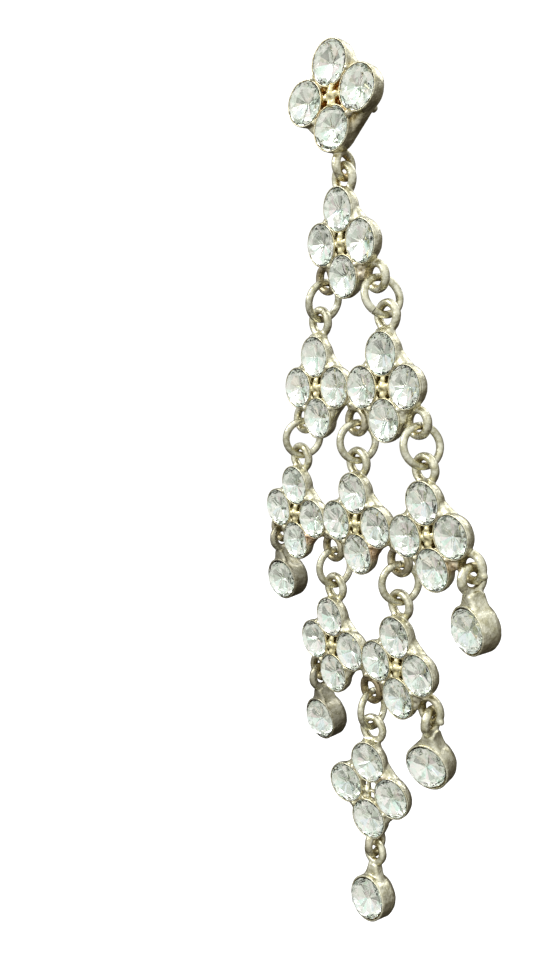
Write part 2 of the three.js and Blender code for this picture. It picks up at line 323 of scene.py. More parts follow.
def drawn(name, points):
    """A line drawn point by point, left in edit mode with all of it selected."""
    nothing_selected()
    bpy.ops.mesh.primitive_plane_add(size=0.1)
    piece = bpy.context.object
    piece.name = name
    bpy.ops.object.mode_set(mode="EDIT")
    bpy.ops.mesh.select_mode(type="VERT")
    bpy.ops.mesh.select_all(action="SELECT")
    bpy.ops.mesh.merge(type="CENTER")
    bpy.ops.transform.translate(value=points[0])
    for here, there in zip(points, points[1:]):
        step = Vector(there) - Vector(here)
        bpy.ops.mesh.extrude_vertices_move(TRANSFORM_OT_translate={"value": step})
    bpy.ops.mesh.select_all(action="SELECT")
    return piece


def spun(name, outline, steps):
    """An outline of (radius, y) points turned about the Y axis."""
    piece = drawn(name, [(radius, y, 0) for radius, y in outline])
    bpy.ops.mesh.spin(steps=steps, angle=math.tau, center=(0, 0, 0), axis=(0, 1, 0))
    bpy.ops.mesh.select_all(action="SELECT")
    bpy.ops.mesh.remove_doubles(threshold=0.001)
    bpy.ops.mesh.normals_make_consistent(inside=False)
    bpy.ops.object.mode_set(mode="OBJECT")
    return piece


def slab(name, outline, front, back, edge):
    """A flat shape of (x, z) points from y = front to y = back, its edges rounded by that radius."""
    piece = drawn(name, [(x, front, z) for x, z in outline])
    bpy.ops.mesh.edge_face_add()
    bpy.ops.mesh.extrude_region_move(TRANSFORM_OT_translate={"value": (0, back - front, 0)})
    bpy.ops.mesh.select_all(action="SELECT")
    bpy.ops.mesh.normals_make_consistent(inside=False)
    if edge:
        select_edges(piece, lambda a, b: abs(a.y - b.y) < 0.001)
        bpy.ops.mesh.bevel(offset=edge, segments=3, affect="EDGES")
    bpy.ops.object.mode_set(mode="OBJECT")
    return piece


def select_edges(piece, wanted):
    """In edit mode, selects the edges whose two ends pass a test."""
    bpy.ops.mesh.select_mode(type="EDGE")
    bpy.ops.mesh.select_all(action="DESELECT")
    bpy.ops.object.mode_set(mode="OBJECT")
    points = piece.data.vertices
    for edge in piece.data.edges:
        a, b = (points[i].co for i in edge.vertices)
        edge.select = wanted(a, b)
    bpy.ops.object.mode_set(mode="EDIT")


def select_points(piece, wanted):
    """In edit mode, selects the points that pass a test."""
    bpy.ops.mesh.select_mode(type="VERT")
    bpy.ops.mesh.select_all(action="DESELECT")
    bpy.ops.object.mode_set(mode="OBJECT")
    for point in piece.data.vertices:
        point.select = wanted(point.co)
    bpy.ops.object.mode_set(mode="EDIT")


def copied(piece, place):
    """A copy with its own mesh, put where the matrix says."""
    twin = piece.copy()
    twin.data = piece.data.copy()
    bpy.context.scene.collection.objects.link(twin)
    put(twin, place)
    return twin


def put(piece, place):
    """Moves a piece and leaves its place in its mesh."""
    only(piece)
    piece.matrix_world = place @ piece.matrix_world
    bpy.ops.object.transform_apply(location=True, rotation=True, scale=True)
    return piece


def joined(name, pieces):
    only(pieces[0])
    for piece in pieces[1:]:
        piece.select_set(True)
    bpy.ops.object.join()
    pieces[0].name = name
    return pieces[0]


def dropped(*pieces):
    for piece in pieces:
        bpy.data.objects.remove(piece)


def shift(x, y, z):
    return Matrix.Translation((x, y, z))


def stone_spots(half_w, half_h):
    return [(0, half_h), (half_w, 0), (0, -half_h), (-half_w, 0)]


# ---- Stones ---------------------------------------------------------------------------------

FACETS = 8
HALF_FACET = math.pi / FACETS
# Points behind the first y are on the girdle or the pavilion, behind the second on the pavilion only
GIRDLE_FROM = -0.1
PAVILION_FROM = 0.1
# The shares of the pavilion's depth before and behind its middle ring
FRONT_SHARE = 0.42
BACK_SHARE = 0.58
# How unevenly the pavilion is moulded, and how far each stone may be turned in its cup
UNEVEN = 0.09
STONE_TURN = 0.12
# Foil facets take pale painted light past this radius, and partly so down to the pavilion's middle ring
PALE_FROM = 1.85
PALE_EDGE = (0.92, 0.94, 0.88)
OUTER_PALENESS = 0.45


def ring_out(size_ratio, depth, turn):
    """In edit mode, extrudes the selected ring back, wider or narrower, and turned about Y."""
    bpy.ops.mesh.extrude_edges_move(TRANSFORM_OT_translate={"value": (0, depth, 0)})
    bpy.ops.transform.resize(value=(size_ratio, 1, size_ratio), center_override=(0, 0, 0))
    if turn:
        bpy.ops.transform.rotate(value=turn, orient_axis="Y", center_override=(0, 0, 0))


def faceted_stone(crystal, foil):
    """A round cut stone: table, crown, girdle, and a foil-backed pavilion."""
    nothing_selected()
    bpy.ops.mesh.primitive_circle_add(vertices=FACETS, radius=TABLE_R, fill_type="NGON",
                                      location=(0, -CROWN_H, 0), rotation=(math.pi / 2, 0, 0))
    stone = bpy.context.object
    stone.name = "stone"
    bpy.ops.object.transform_apply(location=True, rotation=True, scale=True)
    bpy.ops.object.mode_set(mode="EDIT")
    select_edges(stone, lambda a, b: True)
    ring_out(CROWN_MID_R / TABLE_R, CROWN_H + CROWN_MID_Y, HALF_FACET)
    ring_out(STONE_R / CROWN_MID_R, -GIRDLE_HALF - CROWN_MID_Y, HALF_FACET)
    bpy.ops.mesh.select_all(action="SELECT")
    bpy.ops.mesh.quads_convert_to_tris(quad_method="SHORTEST_DIAGONAL")
    select_edges(stone, lambda a, b: max(a.y, b.y) - min(a.y, b.y) < 0.01 and a.y > GIRDLE_FROM)
    bpy.ops.mesh.subdivide(number_cuts=1)
    rim_chord = STONE_R * math.cos(HALF_FACET)
    select_points(stone, lambda point: point.y > GIRDLE_FROM
                  and math.hypot(point.x, point.z) < rim_chord + 0.01)
    widen = STONE_R / rim_chord
    bpy.ops.transform.resize(value=(widen, 1, widen), center_override=(0, 0, 0))
    select_edges(stone, lambda a, b: min(a.y, b.y) > GIRDLE_FROM)
    ring_out(1, 2 * GIRDLE_HALF, 0)
    ring_out(PAVILION_MID_R / STONE_R, (PAVILION_H - GIRDLE_HALF) * FRONT_SHARE, 0)
    ring_out(CULET_R / PAVILION_MID_R, (PAVILION_H - GIRDLE_HALF) * BACK_SHARE, 0)
    bpy.ops.mesh.edge_face_add()
    bpy.ops.mesh.select_all(action="SELECT")
    bpy.ops.mesh.normals_make_consistent(inside=False)
    bpy.ops.object.mode_set(mode="OBJECT")
    stone.data.materials.append(crystal)
    stone.data.materials.append(foil)
    for face in stone.data.polygons:
        face.material_index = 1 if face.center.y > -0.01 else 0
        face.use_smooth = False
    return stone


# ---- Castings -------------------------------------------------------------------------------


def curve_points(start, pull, end, steps):
    """Points after start up to end along a curve drawn in towards pull."""
    found = []
    for i in range(1, steps + 1):
        t = i / steps
        found.append(tuple(
            (1 - t) ** 2 * a + 2 * t * (1 - t) * b + t * t * c for a, b, c in zip(start, pull, end)))
    return found


def plate_outline(half_w, half_h, top_z, top_half, foot_pull):
    """The plate between the cups, hollow in its flanks, from the right of its top loop round."""
    shoulder = (half_w + 1.15, 1.5)
    foot = (1.3, -half_h - 1.5)
    right = [(top_half, top_z)]
    right += curve_points(right[-1], (1.75, half_h - 0.3), shoulder, 7)
    right += [(shoulder[0], -shoulder[1])]
    right += curve_points(right[-1], (half_w - foot_pull, -half_h + foot_pull - 0.3), foot, 5)
    return right + [(-x, z) for x, z in reversed(right)]


def pocket_outline(radius, ledge):
    """The hollow for a stone: straight past its girdle, then narrowing behind it."""
    return [(0, -2), (radius, -2), (radius, ledge), (POCKET_END_R, POCKET_FLOOR), (0, POCKET_FLOOR)]


def cup_outline(back):
    return [
        (0, back), (CUP_BACK_R - 0.25, back), (CUP_BACK_R, back - 0.25), (CUP_R - 0.04, back - 0.65),
        (CUP_R + 0.02, 0.4), (CUP_R + 0.02, 0.15), (CUP_R - 0.02, RIM_Y + 0.06),
        (POCKET_R, RIM_Y + 0.06), (POCKET_R, POCKET_LEDGE), (POCKET_END_R, POCKET_FLOOR), (0, POCKET_FLOOR),
    ]


def cast_loop(x, y, z, radius=LOOP_R, width=LOOP_W, depth=LOOP_DEPTH, edge_on=False):
    """A cast loop with a flattened section, its hole along Y, or along X when it is edge on."""
    nothing_selected()
    bpy.ops.mesh.primitive_torus_add(
        major_radius=radius, minor_radius=width / 2, major_segments=36, minor_segments=12,
        rotation=(math.pi / 2, 0, 0))
    ring = bpy.context.object
    bpy.ops.object.transform_apply(location=True, rotation=True, scale=True)
    bpy.ops.object.mode_set(mode="EDIT")
    bpy.ops.transform.resize(value=(1, depth / width, 1))
    bpy.ops.object.mode_set(mode="OBJECT")
    turn = Matrix.Rotation(math.pi / 2, 4, "Z") if edge_on else Matrix()
    return put(ring, shift(x, y, z) @ turn)


def cluster_body(half_w, half_h, back, top_z, top_half, front=PLATE_Y, foot_pull=0.8, floor=WELL_FLOOR):
    """Four cups and the plate between them, with a well down to the floor in its middle."""
    cup = spun("cup", cup_outline(back), 40)
    drill = spun("drill", pocket_outline(POCKET_R, POCKET_LEDGE), 40)
    plate = slab("plate", plate_outline(half_w, half_h, top_z, top_half, foot_pull), front, back, PLATE_EDGE)
    well = slab("well", [(WELL, 0), (0, WELL), (-WELL, 0), (0, -WELL)], -1, floor, 0)
    apply_modifier(plate, "BOOLEAN", operation="DIFFERENCE", solver="EXACT", object=well)
    dropped(well)
    parts = [plate]
    for x, z in stone_spots(half_w, half_h):
        hole = copied(drill, shift(x, 0, z))
        apply_modifier(plate, "BOOLEAN", operation="DIFFERENCE", solver="EXACT", object=hole)
        dropped(hole)
        parts.append(copied(cup, shift(x, 0, z)))
    dropped(cup, drill)
    return parts


def cast(name, parts, grain):
    """Fuses overlapping parts into one soft cast solid."""
    body = joined(name, parts)
    apply_modifier(body, "REMESH", mode="VOXEL", voxel_size=grain, use_smooth_shade=True)
    apply_modifier(body, "SMOOTH", factor=0.5, iterations=3)
    apply_modifier(body, "DISPLACE", texture=cast_unevenness(), strength=WAVER_DEPTH, mid_level=0.5)
    return body


def cast_unevenness():
    """The slow waver of a cast surface."""
    if "cast_unevenness" not in bpy.data.textures:
        waver = bpy.data.textures.new("cast_unevenness", "CLOUDS")
        waver.noise_scale = WAVER_SIZE
        waver.noise_depth = 2
    return bpy.data.textures["cast_unevenness"]


def trimmed(piece, share):
    """Thins a dense fused mesh to a share of its triangles."""
    apply_modifier(piece, "DECIMATE", ratio=share)
    return piece


def lips(name, half_w, half_h):
    """The thin bright bezel edges pressed over the stones of one cluster."""
    outline = [
        (CUP_R, 0.15), (CUP_R + 0.015, 0.03), (CUP_R - 0.01, -0.04), (CUP_R - 0.05, -0.07),
        (2.05, -0.065), (2.015, -0.03), (2.015, 0.05), (2.03, 0.15), (CUP_R, 0.15),
    ]
    lip = spun("lip", outline, 48)
    rims = [copied(lip, shift(x, 0, z)) for x, z in stone_spots(half_w, half_h)]
    dropped(lip)
    return joined(name, rims)


def bead(x, y, z, radius):
    nothing_selected()
    bpy.ops.mesh.primitive_uv_sphere_add(segments=16, ring_count=10, radius=radius, location=(x, y, z))
    grain = bpy.context.object
    bpy.ops.object.transform_apply(location=True, rotation=True, scale=True)
    return grain


def centre_cross(lumps, arm=CROSS_ARM, back=CROSS_BACK):
    """The small lumpy cross between four cups, its arms ending on their walls."""
    reach_x = 1.0
    reach_z = 1.15
    outline = [
        (arm, arm), (reach_x, arm), (reach_x, -arm), (arm, -arm), (arm, -reach_z), (-arm, -reach_z),
        (-arm, -arm), (-reach_x, -arm), (-reach_x, arm), (-arm, arm), (-arm, reach_z), (arm, reach_z),
    ]
    return [slab("cross", outline, 0.05, back, 0.06)] + [bead(*lump) for lump in lumps]


def junction_prongs(half_w, half_h):
    """A grain of metal in each outer notch between two cups."""
    outward = Vector((half_h, 0, half_w)).normalized()
    found = []
    for across in (-1, 1):
        for up in (-1, 1):
            spot = Vector((half_w / 2 + outward.x * PRONG_OUT, 0, half_h / 2 + outward.z * PRONG_OUT))
            found.append(bead(across * spot.x, PRONG_Y, up * spot.z, PRONG_R))
    return found


def foot_web(foot_x, foot_z, side):
    """The web with small grains that ties an outer foot loop to its two cups."""
    outline = [
        (1.3, -1.5), (2.7, -1.5), (foot_x - 0.1, foot_z + 1.15), (foot_x - 0.75, foot_z + 0.8),
        (foot_x - 1.1, foot_z - 0.1), (1.5, foot_z - 0.5), (0.9, -2.8),
    ]
    web = slab("web", [(side * x, z) for x, z in outline], 0.35, ROW_BACK_Y, 0.15)
    grains = [bead(side * (foot_x - 1.25), 0.4, foot_z + 0.9, 0.26),
              bead(side * (foot_x - 1.45), 0.4, foot_z + 0.3, 0.26)]
    return [web] + grains


def middle_web(x, z):
    """The web above a loop between two clusters."""
    top = LOOP_R + 1.6
    end = LOOP_R - 0.2
    outline = [(x - 0.95, z + top), (x + 0.95, z + top), (x + 0.55, z + end), (x - 0.55, z + end)]
    return [slab("web", outline, 0.35, ROW_BACK_Y, 0.15), bead(x, 0.35, z + LOOP_R + 0.45, 0.27)]


def row_casting(name, metal):
    """One row: its clusters side by side, loops above, and loops and webs below."""
    row = ROWS[name]
    whole = row_place(name)
    clusters = [whole.inverted() @ cluster_place(stones_node(name, side)) for side in row["sides"]]
    parts = []
    rims = []
    is_open = name == OPEN_ROW
    floor = ROW_BACK_Y + 1 if is_open else WELL_FLOOR
    for local in clusters:
        pieces = cluster_body(HALF_W, HALF_H, ROW_BACK_Y, row["top_z"] - LOOP_R + 0.1, TOP_HALF,
                              floor=floor)
        if is_open:
            pieces += centre_cross(OPEN_CROSS_LUMPS, OPEN_CROSS_ARM, OPEN_CROSS_BACK)
        else:
            pieces += centre_cross(CROSS_LUMPS)
        pieces += junction_prongs(HALF_W, HALF_H)
        pieces.append(cast_loop(0, LOOP_Y, row["top_z"]))
        parts += [put(piece, local) for piece in pieces]
        rims.append(put(lips("lips", HALF_W, HALF_H), local))
    if name == LAST_ROW:
        parts.append(cast_loop(0, LOOP_Y, -HALF_H - CUP_R - END_LOOP_DROP, radius=END_LOOP_R, edge_on=True))
    else:
        for side, local in ((-1, clusters[0]), (1, clusters[-1])):
            foot = foot_web(row["foot_x"], row["foot_z"], side)
            foot.append(cast_loop(side * row["foot_x"], LOOP_Y, row["foot_z"]))
            if side == 1 and name in NUBBED_ROWS:
                foot.append(bead(row["foot_x"] + NUB_X, LOOP_Y - 0.1, row["foot_z"] + NUB_Z, 0.36))
            parts += [put(piece, local) for piece in foot]
        for i in range(len(clusters) - 1):
            x = (i + 1 - len(clusters) / 2) * CLUSTER_PITCH
            parts += middle_web(x, row["middle_z"]) + [cast_loop(x, LOOP_Y, row["middle_z"])]
    body = trimmed(cast(f"{name}_body", parts, GRAIN), KEEP)
    casting = joined(f"{name}_cast_clusters", [body] + rims)
    strength = OPEN_GILT if is_open else 1.0
    centres = [(local.translation.x, local.translation.z, GILT_R, strength) for local in clusters]
    marked_stain_and_shade(casting, "gilding", centres, ROW_BACK_Y - 0.2)
    # Painted shade on the loops and walls of the row that sit in shadow
    marked_stain_and_shade(casting, "painted_shade_patches", PAINTED_SHADE_SPOTS.get(name, []), ROW_BACK_Y + 1)
    marked_stain_and_shade(casting, "blush", BLUSH.get(name, []), ROW_BACK_Y + 1)
    return finished(casting, whole, metal)


def marked_stain_and_shade(piece, stain_and_shade, spots, deepest):
    """Marks how strongly each point takes one mark (gilding, stains, painted shade): round each spot, as far
    back as the deepest y.
    """
    points = np.array([point.co for point in piece.data.vertices])
    amount = np.zeros(len(points))
    for x, z, radius, strength in spots:
        reach = np.hypot(points[:, 0] - x, points[:, 2] - z)
        amount = np.maximum(amount, np.clip((radius - reach) / STAIN_AND_SHADE_FADE, 0, 1) * strength)
    amount[points[:, 1] > deepest] = 0
    piece.data.attributes.new(stain_and_shade, "FLOAT", "POINT").data.foreach_set("value", amount)


def finished(piece, place, *materials):
    put(piece, place)
    piece.data.materials.clear()
    for material in materials:
        piece.data.materials.append(material)
    only(piece)
    bpy.ops.object.shade_smooth_by_angle(angle=SMOOTH_ANGLE)
    return piece


def stud_casting(metal):
    """The stud: four deep cups in a filled frame, a loop below and the ear post behind."""
    place = cluster_place("stud_stones")
    parts = cluster_body(STUD_HALF_W, STUD_HALF_H, STUD_DEPTH, STUD_HALF_H + STUD_TOP, STUD_TOP_HALF,
                         front=STUD_FRONT, foot_pull=STUD_FOOT_PULL)
    parts += centre_cross(CROSS_LUMPS) + junction_prongs(STUD_HALF_W, STUD_HALF_H)
    parts.append(bead(STUD_HALF_W / 2 + 0.55, 0.0, -STUD_HALF_H / 2 - 0.6, 0.42))
    loop_z = -STUD_HALF_H - CUP_R - END_LOOP_DROP
    parts.append(cast_loop(0, STUD_LOOP_Y, loop_z, radius=END_LOOP_R, edge_on=True))
    body = trimmed(cast("stud_body", parts, GRAIN), KEEP)
    tip = STUD_DEPTH + POST_L
    post = spun("post", [
        (0, STUD_DEPTH - 0.3), (POST_R, STUD_DEPTH - 0.3), (POST_R, tip - 1.2), (POST_R - 0.07, tip - 1.1),
        (POST_R - 0.07, tip - 0.85), (POST_R, tip - 0.75), (POST_R, tip - 0.2), (POST_R - 0.14, tip),
        (0, tip),
    ], 24)
    stud = joined("stud_cast_cluster", [body, lips("lips", STUD_HALF_W, STUD_HALF_H), post])
    marked_stain_and_shade(stud, "gilding", [(0, 0, GILT_R, 1.0)], STUD_DEPTH - 0.2)
    # Painted shade on the stud's lower right wall, which sits in shadow
    marked_stain_and_shade(stud, "painted_shade_patches", [(1.9, -2.4, 1.6, 0.5)], STUD_DEPTH + 1)
    return finished(stud, place, metal)


# ---- Drops and rings ------------------------------------------------------------------------


def drop_cup(name, metal, edge_on, loop_r, loop_w, loop_z):
    """A deep round bezel with a raised rim, a flaring neck and a loop above it."""
    wall = [
        (0, DROP_DEPTH), (DROP_BACK_R - 0.12, DROP_DEPTH), (DROP_BACK_R, DROP_DEPTH - 0.1),
        (DROP_RIM_R, DROP_DEPTH - 0.6), (DROP_RIM_R, DROP_RIM_Y + 0.1), (DROP_POCKET_R, DROP_RIM_Y + 0.1),
        (DROP_POCKET_R, DROP_LEDGE), (POCKET_END_R, POCKET_FLOOR), (0, POCKET_FLOOR),
    ]
    cup = spun("cup", wall, 56)
    neck_end = 0.62
    spread = 0.95 if edge_on else 0.6
    flare = [(neck_end, loop_z - loop_r + 0.1)]
    flare += curve_points(flare[0], (neck_end, DROP_RIM_R + 0.2), (1.75, 1.45), 7)
    neck = slab("neck", flare + [(-x, z) for x, z in reversed(flare)],
                DROP_MID_Y - spread, DROP_MID_Y + spread, 0.3)
    only(neck)
    bpy.ops.object.mode_set(mode="EDIT")
    select_points(neck, lambda point: point.z > loop_z - loop_r - 0.1)
    bpy.ops.transform.resize(value=(1, 0.6, 1), center_override=(0, DROP_MID_Y, 0))
    bpy.ops.object.mode_set(mode="OBJECT")
    drill = spun("drill", pocket_outline(DROP_POCKET_R, DROP_LEDGE), 40)
    apply_modifier(neck, "BOOLEAN", operation="DIFFERENCE", solver="EXACT", object=drill)
    dropped(drill)
    ring = cast_loop(0, DROP_MID_Y, loop_z, radius=loop_r, width=loop_w, edge_on=edge_on)
    body = trimmed(cast(f"{name}_body", [cup, neck, ring], GRAIN), KEEP)
    rim = spun("rim", [
        (DROP_RIM_R, 0.1), (DROP_RIM_R + 0.01, DROP_RIM_Y + 0.07), (DROP_RIM_R - 0.05, DROP_RIM_Y),
        (DROP_POCKET_R + 0.05, DROP_RIM_Y), (DROP_POCKET_R + 0.02, DROP_RIM_Y + 0.04),
        (DROP_POCKET_R + 0.02, 0.1), (DROP_RIM_R, 0.1),
    ], 64)
    return finished(joined(f"{name}_bezel", [body, rim]), drop_place(name), metal)


def jump_ring(name, wire):
    """A round wire ring with the fine cut where it was opened."""
    nothing_selected()
    bpy.ops.mesh.primitive_circle_add(vertices=14, radius=RING_WIRE_R, fill_type="NGON",
                                      location=(RING_R, 0, 0))
    ring = bpy.context.object
    bpy.ops.object.transform_apply(location=True, rotation=True, scale=True)
    bpy.ops.object.mode_set(mode="EDIT")
    bpy.ops.mesh.select_all(action="SELECT")
    bpy.ops.mesh.spin(steps=60, angle=RING_SWEEP, center=(0, 0, 0), axis=(0, 1, 0))
    bpy.ops.mesh.select_all(action="SELECT")
    bpy.ops.mesh.remove_doubles(threshold=0.001)
    bpy.ops.mesh.normals_make_consistent(inside=False)
    bpy.ops.object.mode_set(mode="OBJECT")
    ring.name = name.replace("ring_", "jump_ring_")
    turn = Matrix.Rotation(RING_CUTS.get(name, HIDDEN_CUT), 4, "Y")
    return finished(ring, ring_place(name) @ turn, wire)


# ---- Finishes -------------------------------------------------------------------------------


def linked(tree, kind, **inputs):
    """A node whose named inputs are values or other nodes' outputs."""
    node = tree.nodes.new(kind)
    for key, value in inputs.items():
        socket = node.inputs[key.replace("_", " ")]
        if isinstance(value, bpy.types.NodeSocket):
            tree.links.new(value, socket)
        else:
            socket.default_value = value
    return node


def new_material(name):
    material = bpy.data.materials.new(name)
    material.use_nodes = True
    return material, material.node_tree, material.node_tree.nodes["Principled BSDF"]


def ramp(tree, factor, stops):
    node = linked(tree, "ShaderNodeValToRGB", Fac=factor)
    for i, (position, colour) in enumerate(stops):
        element = node.color_ramp.elements[i] if i < 2 else node.color_ramp.elements.new(position)
        element.position = position
        element.color = (*colour, 1)
    return node.outputs["Color"]


# How each mark is laid on the plating, and its colour: gilding, painted shade where parts sit in shadow, and
# peach stains
STAIN_AND_SHADE_COLOURS = [
    ("gilding", "MIX", (0.90, 0.82, 0.50)), ("painted_shade_patches", "MULTIPLY", (0.42, 0.35, 0.27)),
    ("blush", "MULTIPLY", (1.0, 0.76, 0.66)),
]


def plated_surface():
    """A group: pale plating with stains and painted shade where marked, that yellows with a patina and
    painted shade in the recesses and takes its darkest painted shade in the deepest of them.
    """
    group = bpy.data.node_groups.new("plated_surface", "ShaderNodeTree")
    for name, kind in (("Plating", "NodeSocketColor"), ("Recess", "NodeSocketColor"),
                       ("Shadow", "NodeSocketColor"), ("Recess Reach", "NodeSocketFloat"),
                       ("Grain", "NodeSocketFloat")):
        group.interface.new_socket(name, in_out="INPUT", socket_type=kind)
    for name, kind in (("Color", "NodeSocketColor"), ("Roughness", "NodeSocketFloat"),
                       ("Height", "NodeSocketFloat")):
        group.interface.new_socket(name, in_out="OUTPUT", socket_type=kind)
    given = group.nodes.new("NodeGroupInput").outputs
    result = group.nodes.new("NodeGroupOutput").inputs
    here = group.nodes.new("ShaderNodeTexCoord").outputs["Object"]

    occlusion = linked(group, "ShaderNodeAmbientOcclusion", Distance=given["Recess Reach"])
    occlusion.samples = 8
    cloudy = linked(group, "ShaderNodeTexNoise", Vector=here, Scale=900.0, Detail=3.0).outputs["Fac"]
    wander = linked(group, "ShaderNodeMath", Value=cloudy).outputs[0]
    wander.node.operation = "MULTIPLY_ADD"
    wander.node.inputs[1].default_value = 0.5
    wander.node.inputs[2].default_value = -0.25
    openness = group.nodes.new("ShaderNodeMath")
    openness.operation = "ADD"
    group.links.new(occlusion.outputs["AO"], openness.inputs[0])
    group.links.new(wander, openness.inputs[1])
    # Painted shade from occlusion: the recesses take the Recess colour, a yellow patina darkened with painted
    # shade, and the deepest of them the Shadow colour, which is painted shade
    warm = linked(group, "ShaderNodeMapRange", Value=openness.outputs[0])
    warm.inputs["From Min"].default_value = 0.82
    warm.inputs["From Max"].default_value = 0.38
    deep = linked(group, "ShaderNodeMapRange", Value=openness.outputs[0])
    deep.inputs["From Min"].default_value = 0.38
    deep.inputs["From Max"].default_value = 0.05
    patch = linked(group, "ShaderNodeTexNoise", Vector=here, Scale=1500.0, Detail=7.0, Roughness=0.78)
    worn = linked(group, "ShaderNodeMapRange", Value=patch.outputs["Fac"])
    worn.inputs["From Min"].default_value = 0.43
    worn.inputs["From Max"].default_value = 0.60
    dulled = group.nodes.new("ShaderNodeMix")
    dulled.data_type = "RGBA"
    dulled.blend_type = "MULTIPLY"
    group.links.new(worn.outputs["Result"], dulled.inputs["Factor"])
    group.links.new(given["Plating"], dulled.inputs["A"])
    dulled.inputs["B"].default_value = (0.62, 0.60, 0.49, 1)
    coloured = dulled.outputs["Result"]
    for stain_and_shade, blend, colour in STAIN_AND_SHADE_COLOURS:
        spread = group.nodes.new("ShaderNodeAttribute")
        spread.attribute_name = stain_and_shade
        mix = group.nodes.new("ShaderNodeMix")
        mix.data_type = "RGBA"
        mix.blend_type = blend
        group.links.new(spread.outputs["Fac"], mix.inputs["Factor"])
        group.links.new(coloured, mix.inputs["A"])
        mix.inputs["B"].default_value = (*colour, 1)
        coloured = mix.outputs["Result"]
    tinted = group.nodes.new("ShaderNodeMix")
    tinted.data_type = "RGBA"
    group.links.new(warm.outputs["Result"], tinted.inputs["Factor"])
    group.links.new(coloured, tinted.inputs["A"])
    group.links.new(given["Recess"], tinted.inputs["B"])
    shaded = group.nodes.new("ShaderNodeMix")
    shaded.data_type = "RGBA"
    group.links.new(deep.outputs["Result"], shaded.inputs["Factor"])
    group.links.new(tinted.outputs["Result"], shaded.inputs["A"])
    group.links.new(given["Shadow"], shaded.inputs["B"])
    group.links.new(shaded.outputs["Result"], result["Color"])

    rough = linked(group, "ShaderNodeMapRange", Value=cloudy)
    rough.inputs["To Min"].default_value = 0.2
    rough.inputs["To Max"].default_value = 0.36
    group.links.new(rough.outputs["Result"], result["Roughness"])

    fine = linked(group, "ShaderNodeTexNoise", Vector=here, Scale=5200.0, Detail=4.0).outputs["Fac"]
    waves = linked(group, "ShaderNodeTexNoise", Vector=here, Scale=1500.0, Detail=1.0).outputs["Fac"]
    relief = group.nodes.new("ShaderNodeMath")
    relief.operation = "MULTIPLY_ADD"
    group.links.new(fine, relief.inputs[0])
    group.links.new(given["Grain"], relief.inputs[1])
    group.links.new(waves, relief.inputs[2])
    group.links.new(relief.outputs[0], result["Height"])
    return group


def plated_metal(name, group, plating, recess, shadow, reach, grain):
    material, tree, shader = new_material(name)
    surface = tree.nodes.new("ShaderNodeGroup")
    surface.node_tree = group
    surface.inputs["Plating"].default_value = (*plating, 1)
    surface.inputs["Recess"].default_value = (*recess, 1)
    surface.inputs["Shadow"].default_value = (*shadow, 1)
    surface.inputs["Recess Reach"].default_value = reach * MM
    surface.inputs["Grain"].default_value = grain
    shader.inputs["Metallic"].default_value = 1.0
    tree.links.new(surface.outputs["Color"], shader.inputs["Base Color"])
    tree.links.new(surface.outputs["Roughness"], shader.inputs["Roughness"])
    bump = linked(tree, "ShaderNodeBump", Height=surface.outputs["Height"], Strength=0.7, Distance=0.12 * MM)
    tree.links.new(bump.outputs["Normal"], shader.inputs["Normal"])
    return material


def clear_crystal():
    material, _, shader = new_material("clear_crystal")
    shader.inputs["Base Color"].default_value = (0.98, 1.0, 0.97, 1)
    shader.inputs["Roughness"].default_value = 0.015
    shader.inputs["IOR"].default_value = 1.2
    shader.inputs["Transmission Weight"].default_value = 1.0
    return material


# Painted reflections for the foil's facets: greyer painted shade for the upper ones, brighter painted light
# for the lower ones
UPPER_PAINTED_REFLECTIONS = [
    (0.68, 0.69, 0.63), (0.48, 0.49, 0.44), (0.82, 0.83, 0.76), (0.66, 0.61, 0.58), (0.61, 0.64, 0.57),
    (0.38, 0.39, 0.35), (0.78, 0.75, 0.66), (0.70, 0.72, 0.65),
]
LOWER_PAINTED_REFLECTIONS = [
    (0.92, 0.92, 0.86), (0.76, 0.89, 0.82), (0.82, 0.92, 0.86), (0.90, 0.84, 0.83), (0.79, 0.85, 0.87),
    (0.60, 0.63, 0.58), (0.91, 0.92, 0.88),
]


def silver_foil():
    """The mirror backing of a stone: each facet has its painted reflection, finely crazed and speckled with
    painted glints.
    """
    material, tree, shader = new_material("silver_foil")
    here = tree.nodes.new("ShaderNodeTexCoord").outputs["Object"]
    shade = tree.nodes.new("ShaderNodeVertexColor")
    shade.layer_name = "painted_facet_reflection"
    cells = linked(tree, "ShaderNodeTexVoronoi", Vector=here, Scale=3200.0)
    glint = tree.nodes.new("ShaderNodeSeparateColor")
    tree.links.new(cells.outputs["Color"], glint.inputs["Color"])
    # Painted glints: fine cells that lighten and darken the foil's colour
    painted_glints = ramp(tree, glint.outputs["Red"], [
        (0.0, (0.66, 0.67, 0.64)), (1.0, (1.0, 1.0, 1.0)), (0.18, (0.86, 0.89, 0.85)),
        (0.35, (0.93, 0.98, 0.96)), (0.6, (1.0, 0.96, 0.97)),
    ])
    tint = tree.nodes.new("ShaderNodeMix")
    tint.data_type = "RGBA"
    tint.blend_type = "MULTIPLY"
    tint.inputs["Factor"].default_value = 1.0
    tree.links.new(shade.outputs["Color"], tint.inputs["A"])
    tree.links.new(painted_glints, tint.inputs["B"])
    tree.links.new(tint.outputs["Result"], shader.inputs["Base Color"])
    shader.inputs["Metallic"].default_value = 1.0
    shader.inputs["Roughness"].default_value = 0.08
    bump = linked(tree, "ShaderNodeBump", Height=glint.outputs["Green"], Strength=0.12, Distance=0.02 * MM)
    tree.links.new(bump.outputs["Normal"], shader.inputs["Normal"])
    return material


# ---- Making the earring ---------------------------------------------------------------------


def shown_for(piece, node):
    """The piece stands for a node of the frame and moves with that node's body."""
    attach(piece, "stud" if node in STUD_NODES else "main_drop")
    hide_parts(node)


